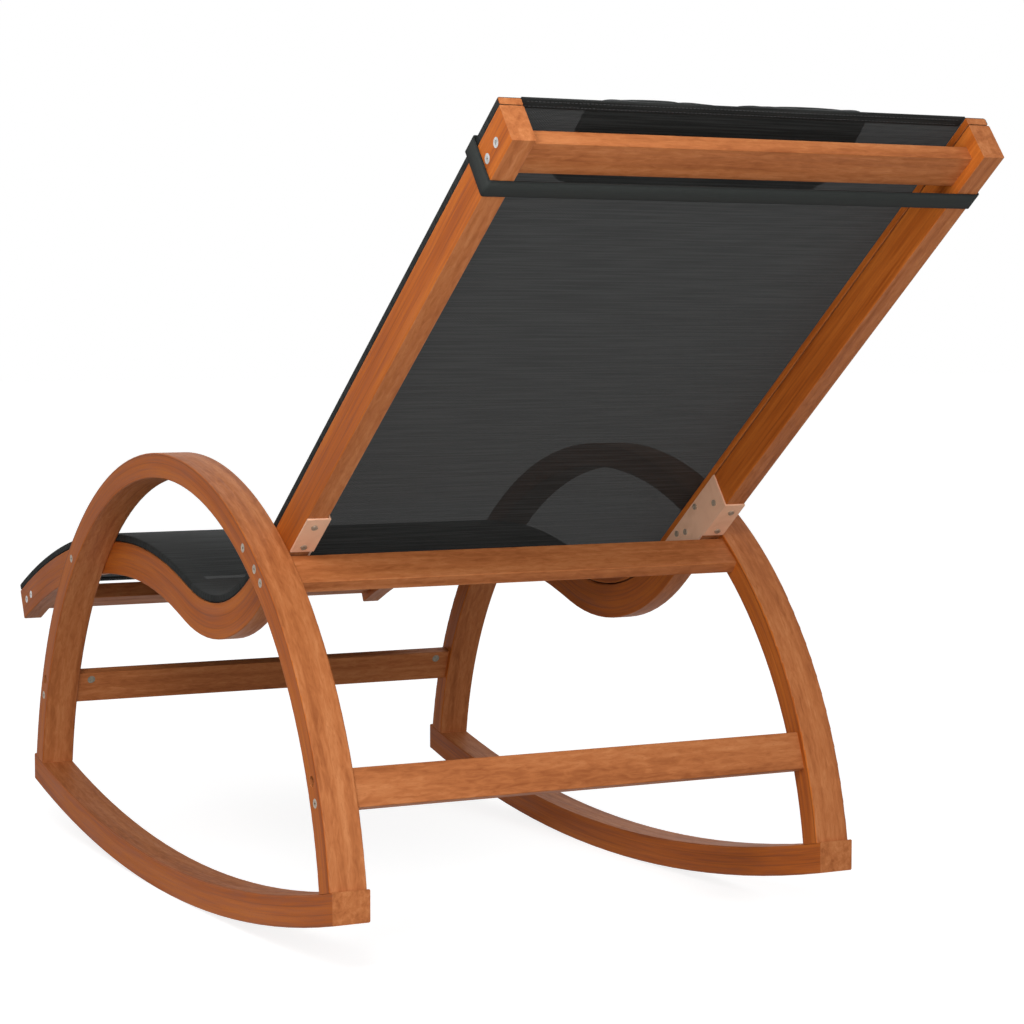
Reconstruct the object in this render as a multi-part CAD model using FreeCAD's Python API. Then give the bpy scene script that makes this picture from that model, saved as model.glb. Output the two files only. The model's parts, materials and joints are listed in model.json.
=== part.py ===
# Rocking chaise lounge: two bentwood side frames on curved runners, an S-shaped seat with a taut mesh sling,
# five cross pieces, two steel corner brackets and a head pillow on an elastic strap.
# Millimetres. +X is the sitter's left, the sitter faces -Y, +Z is up.
# The model is drawn with y = 0 at the middle of the runners and z = 0 on the floor, then moved along Y
# so that its origin is the bottom centre of the whole object.
import FreeCAD, Part
import math
import os

from FreeCAD import Vector

os.makedirs("parts", exist_ok=True)

# Overall width and the side frames
overall_width = 600.0
arch_width = 40.0
arch_thickness = 28.0
arch_outer_radius = 480.5
arch_centre_height = 13.0
arch_edge_radius = 1.8
arch_overlap_angle = 2.0
screwed_leg_height = 60.0
runner_width = 40.0
runner_thickness = 32.0
runner_bottom_radius = 2070.0
runner_overhang = 1.0
runner_edge_chamfer = 1.2

# Seat rails: centre line from the front end over the hump and the dip to the top of the back
rail_width = 24.0
rail_depth = 40.0
rail_edge_radius = 1.5
hump_crest_y = -235.0
hump_crest_z = 355.3
hump_front_radius = 1026.0
hump_front_angle = 24.5
hump_rear_radius = 620.0
slope_length = 26.6
dip_z = 308.9
dip_radius = 238.6
back_angle = 37.7
back_straight = 732.5

# Sling and the strips that clamp it on the rails
fabric_thickness = 1.0
strip_thickness = 7.4
strip_edge_radius = 1.0
clamp_clearance = 0.1
side_clearance = 0.3
hem_set_back = 1.0

# Cross pieces
bar_width = 40.0
bar_thickness = 15.0
bar_edge_radius = 1.2
head_bar_from_end = 34.7
head_bar_offset = 1.5
front_bar_thickness = 20.0
front_bar_from_end = 32.0
front_bar_offset = 1.7
rear_bar_clearance = 3.3
rear_bar_set_out = 2.0
stretcher_height = 180.0

# Corner brackets
plate_thickness = 2.0
plate_clearance = 0.05
bracket_top_above_joint = 81.0
bracket_flange_length = 58.5
bracket_plate_length = 137.0
bracket_tab_width = 36.0
bracket_tab_length = 34.0
bracket_edge_inset = 0.5
bracket_web_start = 21.0
bracket_web_inset = 4.0
bracket_lower_edge = 103.0
bracket_plate_screws = ((64.4, 6.7), (28.4, -13.0), (-5.6, -2.0), (-22.6, -11.0))
bracket_flange_screws = (67.4, 31.4)
bracket_tab_screw_spacing = 17.0

# Screws, bolts and barrel nuts
screw_clearance = 0.1
screw_head_radius = 4.8
screw_head_height = 3.0
screw_shank_radius = 2.5
screw_length = 60.0
recess_width = 1.3
recess_length = 4.6
recess_depth = 1.6
head_screw_spacing = 21.0
rear_screw_spacing = 20.6
rail_screw_length = 58.0
stretcher_fixing_spacing = 22.0
bolt_radius = 3.0
bolt_head_radius = 5.0
bolt_head_height = 5.0
bolt_length = 56.0
counterbore_depth = 12.0
counterbore_clearance = 0.5
barrel_nut_radius = 5.0
barrel_nut_length = 13.0
barrel_nut_inset = 18.0
small_screw_head_radius = 3.4
small_screw_head_height = 1.6
small_screw_shank_radius = 1.75
small_screw_length = 16.0
strip_screw_head_radius = 3.8
strip_screw_head_height = 2.4
strip_screw_length = 30.0
strip_screw_count = 9
strip_screw_end_margin = 60.0
foot_screw_length = 62.0
foot_screw_spacing = 19.0
foot_screw_recess = 6.0

# Head pillow and its strap
pillow_width = 300.0
pillow_length = 108.0
pillow_thickness = 36.0
pillow_edge_thickness = 5.0
pillow_from_end = 75.0
pillow_side_draw = 3.0
pillow_least_crown = 0.2
pillow_sections = 9
strap_width = 20.0
strap_thickness = 1.5
strap_from_end = 62.0
strap_clearance = 0.3

# Places that follow from the sizes above
arch_outer_x = overall_width / 2
arch_inner_x = arch_outer_x - arch_width
arch_middle_x = arch_outer_x - arch_width / 2
rail_outer_x = arch_inner_x
rail_inner_x = rail_outer_x - rail_width
rail_middle_x = rail_outer_x - rail_width / 2
arch_middle_radius = arch_outer_radius - arch_thickness / 2
runner_top_radius = runner_bottom_radius - runner_thickness
runner_half_length = arch_outer_radius + runner_overhang
fabric_outer_x = rail_outer_x - side_clearance
strip_outer_x = fabric_outer_x - fabric_thickness - clamp_clearance
rail_top = rail_depth / 2
return_bottom = rail_top + clamp_clearance
return_top = return_bottom + fabric_thickness
strip_bottom = return_top + clamp_clearance
strip_top = strip_bottom + strip_thickness
sheet_bottom = strip_top + clamp_clearance
sheet_top = sheet_bottom + fabric_thickness
X_AXIS = Vector(1, 0, 0)


class Station:
    """A place on a path in the YZ plane, with the direction that the path runs in."""

    def __init__(self, y, z, heading):
        self.y = y
        self.z = z
        self.heading = heading

    def along(self):
        a = math.radians(self.heading)
        return Vector(0, math.cos(a), math.sin(a))

    def under(self):
        a = math.radians(self.heading)
        return Vector(0, math.sin(a), -math.cos(a))

    def point(self, x=0.0, along=0.0, under=0.0):
        base = Vector(x, self.y, self.z)
        return base + self.along() * along + self.under() * under

    def placement(self):
        """Local X stays X, local Y points to the underside, local Z runs against the path."""
        turn = FreeCAD.Rotation(X_AXIS, self.under(), -self.along(), "XYZ")
        return FreeCAD.Placement(Vector(0, self.y, self.z), turn)


class Path:
    """Straight runs and tangent arcs, one after the other."""

    def __init__(self, start):
        self.start = start
        self.legs = []

    def straight(self, length):
        self.legs.append(("straight", length, 0.0))
        return self

    def turn(self, radius, angle):
        """A positive angle turns the path upwards."""
        self.legs.append(("turn", radius, angle))
        return self

    def length(self):
        total = 0.0
        for kind, size, angle in self.legs:
            total += size if kind == "straight" else size * math.radians(abs(angle))
        return total

    def step(self, here, leg, share=1.0):
        kind, size, angle = leg
        if kind == "straight":
            end = here.point(along=size * share)
            return Station(end.y, end.z, here.heading)
        side = -1 if angle > 0 else 1
        centre = here.point(under=side * size)
        there = Station(0, 0, here.heading + angle * share)
        end = centre - there.under() * (side * size)
        return Station(end.y, end.z, there.heading)

    def at(self, distance):
        """The station at a distance along the path from its start."""
        here = self.start
        for leg in self.legs:
            size = leg[1] if leg[0] == "straight" else leg[1] * math.radians(abs(leg[2]))
            if distance <= size:
                return self.step(here, leg, distance / size)
            distance -= size
            here = self.step(here, leg)
        return here

    def sweep(self, section, tools=()):
        """One solid that carries a section along the whole path, with tools cut out of it."""
        here = self.start
        runs = []
        for leg in self.legs:
            kind, size, angle = leg
            face = section.copy()
            face.Placement = here.placement().multiply(face.Placement)
            if kind == "straight":
                run = face.extrude(here.along() * size)
            else:
                side = -1 if angle > 0 else 1
                run = face.revolve(here.point(under=side * size), X_AXIS, angle)
            near = [tool for tool in tools if tool.BoundBox.intersect(run.BoundBox)]
            runs.append(run.cut(near) if near else run)
            here = self.step(here, leg)
        body = runs[0].fuse(runs[1:]).removeSplitter() if len(runs) > 1 else runs[0]
        return max(body.Solids, key=lambda solid: solid.Volume)


def rounded_rectangle(x_low, x_high, y_low, y_high, radius):
    """A face in the XY plane with its four corners rounded."""
    corners = [(x_low, y_low, 180), (x_high, y_low, 270), (x_high, y_high, 0), (x_low, y_high, 90)]
    edges = []
    points = []
    for x, y, start in corners:
        cx = x + radius if x == x_low else x - radius
        cy = y + radius if y == y_low else y - radius
        ends = []
        for angle in (start, start + 45, start + 90):
            a = math.radians(angle)
            ends.append(Vector(cx + radius * math.cos(a), cy + radius * math.sin(a), 0))
        points.append(ends)
    for i, ends in enumerate(points):
        edges.append(Part.Arc(*ends).toShape())
        edges.append(Part.makeLine(ends[2], points[(i + 1) % 4][0]))
    return Part.Face(Part.Wire(edges))


def polygon_face(points):
    return Part.Face(Part.makePolygon(points + points[:1]))


def mirrored(shape):
    return shape.mirror(Vector(0, 0, 0), X_AXIS)


def both_sides(seats):
    """Seats on the left side with their mirror images on the right."""
    return seats + [(Vector(-p.x, p.y, p.z), Vector(-d.x, d.y, d.z)) for p, d in seats]


def placed(shape, seats):
    """Copies of a shape drawn down -Z from the origin, one from each seat in its direction."""
    copies = []
    for point, direction in seats:
        copy = shape.copy()
        copy.Placement = FreeCAD.Placement(point, FreeCAD.Rotation(Vector(0, 0, -1), direction))
        copies.append(copy)
    return copies


def cut_all(body, tools):
    """Cuts tools out of one solid and keeps what is left of it."""
    return max(body.cut(tools).Solids, key=lambda solid: solid.Volume)


# Fasteners

def countersunk(head_radius, head_height, shank_radius, length, margin=0.0):
    """A countersunk screw, or with a margin the hole that it sits in."""
    head = Part.makeCone(shank_radius + margin, head_radius + margin, head_height, Vector(0, 0, -head_height))
    shank = Part.makeCylinder(shank_radius + margin, length + margin, Vector(0, 0, -length - margin))
    return head.fuse(shank).removeSplitter().Solids[0]


def cross_recess(depth):
    """The cross-shaped recess of a screw head."""
    half_length = recess_length / 2
    half_width = recess_width / 2
    slot = Part.makeBox(recess_length, recess_width, depth, Vector(-half_length, -half_width, -depth))
    other = Part.makeBox(recess_width, recess_length, depth, Vector(-half_width, -half_length, -depth))
    return slot.fuse(other)


def wood_screw(length):
    screw = countersunk(screw_head_radius, screw_head_height, screw_shank_radius, length)
    return screw.cut(cross_recess(recess_depth)).Solids[0]


def wood_screw_hole(length):
    return countersunk(screw_head_radius, screw_head_height, screw_shank_radius, length, screw_clearance)


def pan_screw():
    """A small screw whose flat head stands on a plate."""
    head = Part.makeCylinder(small_screw_head_radius, small_screw_head_height)
    shank = Part.makeCylinder(small_screw_shank_radius, small_screw_length, Vector(0, 0, -small_screw_length))
    recess = cross_recess(small_screw_head_height / 2)
    recess.translate(Vector(0, 0, small_screw_head_height))
    return head.fuse(shank).cut(recess).Solids[0]


def round_hole(radius, length):
    return Part.makeCylinder(radius, length, Vector(0, 0, -length))


# Rail path

def rail_path():
    """Front end, hump, slope, dip and back, from the crest outwards. The slope's length places the dip."""
    rise = (dip_z + dip_radius) - (hump_crest_z - hump_rear_radius)
    reach = hump_rear_radius + dip_radius
    run = math.sqrt(reach ** 2 + slope_length ** 2 - rise ** 2)
    slope_angle = math.degrees(math.atan2(run, rise) - math.atan2(slope_length, reach))
    front_angle = math.radians(hump_front_angle)
    front_y = hump_crest_y - hump_front_radius * math.sin(front_angle)
    front_z = hump_crest_z - hump_front_radius * (1 - math.cos(front_angle))
    path = Path(Station(front_y, front_z, hump_front_angle))
    path.turn(hump_front_radius, -hump_front_angle)
    path.turn(hump_rear_radius, -slope_angle)
    path.straight(slope_length)
    path.turn(dip_radius, slope_angle + back_angle)
    path.straight(back_straight)
    return path


seat = rail_path()
front_end = seat.start
top_end = seat.at(seat.length())


def crossing(radius, low, high, under=0.0):
    """Distance along the rail, between low and high, where it crosses a circle of the arch."""
    def miss(distance):
        p = seat.at(distance).point(under=under)
        return math.hypot(p.y, p.z - arch_centre_height) - radius
    for _ in range(60):
        middle = (low + high) / 2
        if miss(low) * miss(middle) <= 0:
            high = middle
        else:
            low = middle
    return (low + high) / 2


hump_distance = hump_front_radius * math.radians(hump_front_angle)
front_joint = seat.at(crossing(arch_middle_radius, 0, hump_distance))
rear_joint = seat.at(crossing(arch_middle_radius, seat.length() - back_straight, seat.length()))


def arch_station(angle, radius=arch_middle_radius):
    """A place on the arch at an angle above the horizontal, measured at its centre from +Y."""
    a = math.radians(angle)
    return Station(radius * math.cos(a), arch_centre_height + radius * math.sin(a), angle - 90)


def angle_on_arch(station):
    return math.degrees(math.atan2(station.z - arch_centre_height, station.y))


def rear_bar_station():
    """The rear crossbar's place: its near corner stays under the rail by the named clearance."""
    joint_angle = angle_on_arch(rear_joint)
    meeting = math.radians(back_angle - (joint_angle - 90))
    half_rail = rail_depth / 2 / math.sin(meeting)
    corner = bar_thickness / 2 / math.tan(meeting)
    arc = half_rail + corner + bar_width / 2 + rear_bar_clearance
    angle = joint_angle - math.degrees(arc / arch_middle_radius)
    return arch_station(angle, arch_middle_radius + rear_bar_set_out)


rear_bar_place = rear_bar_station()
stretcher_angle = math.degrees(math.asin((stretcher_height - arch_centre_height) / arch_middle_radius))
rear_stretcher_place = arch_station(stretcher_angle)
front_stretcher_place = arch_station(180 - stretcher_angle)
head_bar_place = seat.at(seat.length() - head_bar_from_end)
front_bar_place = seat.at(front_bar_from_end)


# Side frames

def arch_blank():
    """The bent arch, long enough to be trimmed on the runner."""
    start = arch_station(180 + arch_overlap_angle)
    section = rounded_rectangle(
        arch_inner_x, arch_outer_x, -arch_thickness / 2, arch_thickness / 2, arch_edge_radius)
    path = Path(Station(start.y, start.z, 90 + arch_overlap_angle))
    path.turn(arch_middle_radius, -(180 + 2 * arch_overlap_angle))
    return path.sweep(section)


def runner_blank():
    """A curved slab with upright ends and chamfered long edges."""
    outline = []
    for radius, order in ((runner_bottom_radius, (-1, 0, 1)), (runner_top_radius, (1, 0, -1))):
        for share in order:
            y = share * runner_half_length
            z = runner_bottom_radius - math.sqrt(radius ** 2 - y ** 2)
            outline.append(Vector(arch_outer_x - runner_width, y, z))
    front_low, middle_low, rear_low, rear_high, middle_high, front_high = outline
    profile = Part.Face(Part.Wire([
        Part.Arc(front_low, middle_low, rear_low).toShape(),
        Part.makeLine(rear_low, rear_high),
        Part.Arc(rear_high, middle_high, front_high).toShape(),
        Part.makeLine(front_high, front_low)]))
    slab = profile.extrude(X_AXIS * runner_width)
    long_edges = [edge for edge in slab.Edges if edge.Length > runner_half_length]
    return slab.makeChamfer(runner_edge_chamfer, long_edges).Solids[0]


def runner_top_cylinder():
    """Everything above the runner's top face, which the arch's feet are trimmed to."""
    return Part.makeCylinder(
        runner_top_radius, overall_width, Vector(0, 0, runner_bottom_radius), X_AXIS)


def foot_screw_seats():
    """Where each screw's head sits under the runner, and its direction up the leg."""
    seats = []
    leg_angle = math.degrees(math.asin(screwed_leg_height / arch_middle_radius))
    rear_leg = arch_station(leg_angle)
    front_leg = arch_station(180 - leg_angle)
    for leg, up in ((front_leg, front_leg.along()), (rear_leg, -rear_leg.along())):
        floor_z = runner_bottom_radius - math.sqrt(runner_bottom_radius ** 2 - leg.y ** 2)
        drop = (leg.z - floor_z) / up.z
        base = Vector(0, leg.y, leg.z) - up * (drop - foot_screw_recess)
        for shift in (-foot_screw_spacing / 2, foot_screw_spacing / 2):
            seats.append((base + X_AXIS * (arch_middle_x + shift), up))
    return seats


def foot_screw_holes():
    well = round_hole(screw_head_radius + screw_clearance, 2 * foot_screw_recess)
    below = [(point, -up) for point, up in foot_screw_seats()]
    return placed(wood_screw_hole(foot_screw_length), foot_screw_seats()) + placed(well, below)


# Fixings that come in through an outer side face, as seats with the direction inwards

def side_seats(station, offsets, x, under=0.0):
    """Seats on a face of constant X, spread along the piece that the station belongs to."""
    return [(station.point(x=x, along=offset, under=under), -X_AXIS) for offset in offsets]


def pair(spacing):
    return (-spacing / 2, spacing / 2)


rail_seats = side_seats(front_joint, (0,), arch_outer_x) + side_seats(rear_joint, (0,), arch_outer_x)
rear_bar_seats = side_seats(rear_bar_place, pair(rear_screw_spacing), arch_outer_x)
head_bar_seats = side_seats(head_bar_place, pair(head_screw_spacing), rail_outer_x, head_bar_offset)
front_bar_seats = side_seats(front_bar_place, pair(head_screw_spacing), rail_outer_x)
stretcher_places = (front_stretcher_place, rear_stretcher_place)
stretcher_screw_seats = [
    side_seats(front_stretcher_place, (-stretcher_fixing_spacing / 2,), arch_outer_x)[0],
    side_seats(rear_stretcher_place, (stretcher_fixing_spacing / 2,), arch_outer_x)[0]]
stretcher_bolt_seats = [
    side_seats(front_stretcher_place, (stretcher_fixing_spacing / 2,), arch_outer_x)[0],
    side_seats(rear_stretcher_place, (-stretcher_fixing_spacing / 2,), arch_outer_x)[0]]


def arch_holes():
    holes = placed(wood_screw_hole(rail_screw_length), rail_seats)
    holes += placed(wood_screw_hole(screw_length), rear_bar_seats + stretcher_screw_seats)
    counterbore = round_hole(bolt_head_radius + counterbore_clearance, counterbore_depth)
    through_hole = round_hole(bolt_radius + screw_clearance, 2 * arch_width)
    holes += placed(counterbore, stretcher_bolt_seats)
    holes += placed(through_hole, stretcher_bolt_seats)
    return holes


def bolt_solid():
    """A socket-head bolt, with the underside of its head at the origin."""
    head = Part.makeCylinder(bolt_head_radius, bolt_head_height)
    socket = Part.makeCylinder(bolt_head_radius / 2, bolt_head_height / 2, Vector(0, 0, bolt_head_height / 2))
    shank = Part.makeCylinder(bolt_radius, bolt_length, Vector(0, 0, -bolt_length))
    return head.fuse(shank).cut(socket).Solids[0]


def barrel_nut_seats(index):
    """Where the barrel nut's outer end lies on the bar's inner face, and its direction into the bar."""
    station = stretcher_places[index]
    bolt = stretcher_bolt_seats[index][0]
    point = Vector(arch_inner_x - barrel_nut_inset, bolt.y, bolt.z) + station.under() * (bar_thickness / 2)
    return both_sides([(point, -station.under())])


def barrel_nut():
    """A cross dowel with its bolt hole, drawn down -Z; its hole runs along local X."""
    nut = Part.makeCylinder(barrel_nut_radius, barrel_nut_length, Vector(0, 0, -barrel_nut_length))
    hole = Part.makeCylinder(
        bolt_radius + screw_clearance, 4 * barrel_nut_radius,
        Vector(-2 * barrel_nut_radius, 0, -bar_thickness / 2), X_AXIS)
    return nut.cut(hole).Solids[0]


# Bars between the side frames

def bar(station, half_length, offset=0.0, thickness=bar_thickness):
    """A flat bar across the object: wide along the station's direction, thin across it."""
    section = rounded_rectangle(-bar_width / 2, bar_width / 2, -thickness / 2, thickness / 2, bar_edge_radius)
    turn = FreeCAD.Rotation(station.along(), station.under(), X_AXIS, "XYZ")
    start = station.point(x=-half_length, under=offset)
    section.Placement = FreeCAD.Placement(start, turn)
    return section.extrude(X_AXIS * (2 * half_length))


def screwed_bar(station, half_length, seats, offset=0.0, thickness=bar_thickness):
    holes = placed(wood_screw_hole(screw_length), both_sides(seats))
    return cut_all(bar(station, half_length, offset, thickness), holes)


def rear_crossbar():
    pilot = round_hole(small_screw_shank_radius + screw_clearance, small_screw_length - plate_thickness)
    holes = placed(pilot, both_sides(bracket_tab_seats()))
    return cut_all(screwed_bar(rear_bar_place, arch_inner_x, rear_bar_seats), holes)


def stretcher(index):
    bolt_hole = round_hole(bolt_radius + screw_clearance, counterbore_depth + bolt_length + 1)
    nut_bore = round_hole(barrel_nut_radius + screw_clearance, barrel_nut_length + screw_clearance)
    tools = placed(bolt_hole, both_sides([stretcher_bolt_seats[index]]))
    tools += placed(nut_bore, barrel_nut_seats(index))
    return cut_all(screwed_bar(stretcher_places[index], arch_inner_x, [stretcher_screw_seats[index]]), tools)


# Rails, strips and sling

def strip_screw_seats():
    """Heads flush with the strip's top face, under the sheet."""
    x = (rail_inner_x + strip_outer_x) / 2
    step = (seat.length() - 2 * strip_screw_end_margin) / (strip_screw_count - 1)
    stations = [seat.at(strip_screw_end_margin + i * step) for i in range(strip_screw_count)]
    return [(station.point(x=x, under=-strip_top), station.under()) for station in stations]


def strip_screw():
    screw = countersunk(
        strip_screw_head_radius, strip_screw_head_height, small_screw_shank_radius, strip_screw_length)
    return screw.cut(cross_recess(strip_screw_head_height / 2)).Solids[0]


def strip_screw_hole():
    return countersunk(
        strip_screw_head_radius, strip_screw_head_height, small_screw_shank_radius,
        strip_screw_length, screw_clearance)


def rail():
    section = rounded_rectangle(rail_inner_x, rail_outer_x, -rail_depth / 2, rail_depth / 2, rail_edge_radius)
    pilot = round_hole(small_screw_shank_radius + screw_clearance, small_screw_length)
    tools = placed(wood_screw_hole(rail_screw_length), rail_seats)
    tools += placed(wood_screw_hole(screw_length), head_bar_seats + front_bar_seats)
    tools += placed(strip_screw_hole(), strip_screw_seats())
    tools += placed(pilot, bracket_screw_seats())
    return seat.sweep(section, tools)


def clamp_strip():
    section = rounded_rectangle(rail_inner_x, strip_outer_x, -strip_top, -strip_bottom, strip_edge_radius)
    return seat.sweep(section, placed(strip_screw_hole(), strip_screw_seats()))


def sling():
    """One sheet over both strips, wrapped round their outer sides and clamped under them by the screws."""
    inner = rail_inner_x + hem_set_back
    half = [
        Vector(fabric_outer_x, -sheet_top, 0), Vector(fabric_outer_x, -return_bottom, 0),
        Vector(inner, -return_bottom, 0), Vector(inner, -return_top, 0),
        Vector(fabric_outer_x - fabric_thickness, -return_top, 0),
        Vector(fabric_outer_x - fabric_thickness, -sheet_bottom, 0)]
    other = [Vector(-p.x, p.y, 0) for p in reversed(half)]
    shank_hole = round_hole(small_screw_shank_radius + screw_clearance, strip_screw_length)
    return seat.sweep(polygon_face(half + other), placed(shank_hole, both_sides(strip_screw_seats())))


# Corner brackets

def joint_point(x, above, under):
    """A point given by its distance up the rail from where the rail's centre line meets the arch."""
    return rear_joint.point(x=x, along=above, under=under)


def bracket_screw_seats():
    """Points on the bracket's faces with the direction of each screw."""
    plate = []
    for above, under in bracket_plate_screws:
        plate.append((joint_point(rail_inner_x, above, under), X_AXIS))
    flange = []
    for above in bracket_flange_screws:
        flange.append((joint_point(rail_middle_x, above, rail_depth / 2), -rear_joint.under()))
    return plate + flange


def bracket_tab_seats():
    """Points on the rear crossbar's inner face for the tab's two screws."""
    x = rail_inner_x - bracket_tab_width / 2
    shifts = pair(bracket_tab_screw_spacing)
    points = [rear_bar_place.point(x=x, along=shift, under=bar_thickness / 2) for shift in shifts]
    return [(point, -rear_bar_place.under()) for point in points]


def bracket():
    """A bent plate: side plate on the rail's inner face, flange under the rail, tab on the crossbar."""
    outside = rail_depth / 2 + plate_clearance
    foot = rail_depth / 2 + plate_clearance + plate_thickness
    x_high = rail_inner_x - plate_clearance
    x_low = x_high - plate_thickness
    flange_end = bracket_top_above_joint - bracket_flange_length
    tab_face = bar_thickness / 2 + plate_clearance + plate_thickness
    outline = [
        joint_point(x_low, bracket_top_above_joint, -rail_depth / 2 + bracket_edge_inset),
        joint_point(x_low, bracket_top_above_joint, foot),
        joint_point(x_low, flange_end, foot),
        joint_point(x_low, flange_end, rail_depth / 2 - bracket_edge_inset),
        joint_point(x_low, flange_end - bracket_web_start, rail_depth / 2 - bracket_edge_inset),
        rear_bar_place.point(
            x=x_low, along=bracket_web_inset - bar_width / 2, under=tab_face - plate_thickness),
        rear_bar_place.point(x=x_low, along=bracket_tab_length / 2, under=tab_face - plate_thickness),
        rear_bar_place.point(x=x_low, along=bracket_tab_length / 2, under=tab_face),
        joint_point(
            x_low, bracket_top_above_joint - bracket_lower_edge, rail_depth / 2 - bracket_edge_inset),
        joint_point(
            x_low, bracket_top_above_joint - bracket_plate_length, -rail_depth / 2 + bracket_edge_inset)]
    plate = polygon_face(outline).extrude(X_AXIS * plate_thickness)
    flange_corners = [
        joint_point(x_low, bracket_top_above_joint, outside),
        joint_point(rail_outer_x - side_clearance, bracket_top_above_joint, outside),
        joint_point(rail_outer_x - side_clearance, flange_end, outside),
        joint_point(x_low, flange_end, outside)]
    flange = polygon_face(flange_corners).extrude(rear_joint.under() * plate_thickness)
    tab_corners = [
        rear_bar_place.point(x=x_high, along=-bracket_tab_length / 2, under=tab_face - plate_thickness),
        rear_bar_place.point(x=x_high, along=bracket_tab_length / 2, under=tab_face - plate_thickness),
        rear_bar_place.point(
            x=x_high - bracket_tab_width, along=bracket_tab_length / 2, under=tab_face - plate_thickness),
        rear_bar_place.point(
            x=x_high - bracket_tab_width, along=-bracket_tab_length / 2, under=tab_face - plate_thickness)]
    tab = polygon_face(tab_corners).extrude(rear_bar_place.under() * plate_thickness)
    drill = Part.makeCylinder(
        small_screw_shank_radius + screw_clearance, 4 * plate_thickness, Vector(0, 0, -2 * plate_thickness))
    holes = placed(drill, bracket_screw_seats() + bracket_tab_seats())
    return cut_all(plate.fuse([flange, tab]).removeSplitter().Solids[0], holes)


def bracket_head_seats():
    """The seats of the bracket's screws, raised from the wood to the plate's outer face."""
    rise = plate_thickness + 2 * plate_clearance
    return [(point - way * rise, way) for point, way in bracket_screw_seats() + bracket_tab_seats()]


# Head pillow and strap

def pillow():
    """A stuffed pad: crowned front and back, thin at its ends, long sides drawn in at the middle."""
    centre = top_end.point(along=-pillow_from_end)
    sheet_front = sheet_top + strap_clearance + strap_thickness
    middle = -sheet_front - pillow_thickness / 2
    half_width = pillow_width / 2
    wires = []
    for i in range(pillow_sections):
        t = -1 + 2 * i / (pillow_sections - 1)
        swell = (1 - abs(t) ** 3) ** 0.5
        half_thick = pillow_edge_thickness / 2 + (pillow_thickness - pillow_edge_thickness) / 2 * swell
        half_long = pillow_length / 2 - pillow_side_draw * (1 - t ** 2)
        rim = pillow_edge_thickness / 2
        x = half_width * t

        def place(along, under):
            base = Vector(x, centre.y, centre.z)
            return base + top_end.along() * along + top_end.under() * (middle + under)

        back_edge = place(half_long, rim)
        front_edge = place(half_long, -rim)
        other_front = place(-half_long, -rim)
        other_back = place(-half_long, rim)
        crown = max(half_thick, rim + pillow_least_crown)
        wires.append(Part.Wire([
            Part.makeLine(back_edge, front_edge),
            Part.Arc(front_edge, place(0, -crown), other_front).toShape(),
            Part.makeLine(other_front, other_back),
            Part.Arc(other_back, place(0, crown), back_edge).toShape()]))
    return Part.makeLoft(wires, True, False).Solids[0]


def strap():
    """A flat elastic loop round the whole back."""
    front = sheet_top + strap_clearance
    rear = rail_depth / 2 + strap_clearance
    inside_x = rail_outer_x + strap_clearance
    loops = []
    for extra in (strap_thickness, 0.0):
        x = inside_x + extra
        along = -strap_from_end - strap_width / 2
        corners = [
            top_end.point(x=-x, along=along, under=-front - extra),
            top_end.point(x=x, along=along, under=-front - extra),
            top_end.point(x=x, along=along, under=rear + extra),
            top_end.point(x=-x, along=along, under=rear + extra)]
        loops.append(polygon_face(corners).extrude(top_end.along() * strap_width))
    return loops[0].cut(loops[1]).Solids[0]


# Assembly

def build_nodes():
    """Every node by name, each with its list of solids."""
    arch = cut_all(arch_blank().common(runner_top_cylinder()).Solids[0], arch_holes() + foot_screw_holes())
    runner = cut_all(runner_blank(), foot_screw_holes())
    left_rail = rail()
    left_strip = clamp_strip()
    left_bracket = bracket()
    bolt_heads = [(point - X_AXIS * counterbore_depth, way) for point, way in stretcher_bolt_seats]
    screw = wood_screw(screw_length)
    return {
        "arch_left": [arch],
        "arch_right": [mirrored(arch)],
        "runner_left": [runner],
        "runner_right": [mirrored(runner)],
        "rail_left": [left_rail],
        "rail_right": [mirrored(left_rail)],
        "clamp_strip_left": [left_strip],
        "clamp_strip_right": [mirrored(left_strip)],
        "sling_fabric": [sling()],
        "head_crossbar": [screwed_bar(head_bar_place, rail_inner_x, head_bar_seats, head_bar_offset)],
        "front_crossbar": [screwed_bar(
            front_bar_place, rail_inner_x, front_bar_seats, front_bar_offset, front_bar_thickness)],
        "rear_crossbar": [rear_crossbar()],
        "front_stretcher": [stretcher(0)],
        "rear_stretcher": [stretcher(1)],
        "bracket_left": [left_bracket],
        "bracket_right": [mirrored(left_bracket)],
        "head_pillow": [pillow()],
        "pillow_strap": [strap()],
        "head_crossbar_screws": placed(screw, both_sides(head_bar_seats)),
        "front_crossbar_screws": placed(screw, both_sides(front_bar_seats)),
        "rear_crossbar_screws": placed(screw, both_sides(rear_bar_seats)),
        "rail_screws": placed(wood_screw(rail_screw_length), both_sides(rail_seats)),
        "stretcher_screws": placed(screw, both_sides(stretcher_screw_seats)),
        "stretcher_bolts": placed(bolt_solid(), both_sides(bolt_heads)),
        "barrel_nuts": placed(barrel_nut(), barrel_nut_seats(0) + barrel_nut_seats(1)),
        "bracket_screws": placed(pan_screw(), both_sides(bracket_head_seats())),
        "clamp_strip_screws": placed(strip_screw(), both_sides(strip_screw_seats())),
        "foot_screws": placed(wood_screw(foot_screw_length), both_sides(foot_screw_seats())),
    }


def main():
    nodes = build_nodes()
    longest = Part.makeCompound(nodes["rail_left"] + nodes["sling_fabric"]).optimalBoundingBox(False, False)
    shift = Vector(0, -(longest.YMin + longest.YMax) / 2, 0)
    for name, solids in nodes.items():
        shape = solids[0] if len(solids) == 1 else Part.makeCompound(solids)
        shape.translate(shift)
        shape.exportStep("parts/" + name + ".step")
    print("origin lies", round(-shift.y, 1), "mm behind the middle of the runners")


main()
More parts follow.
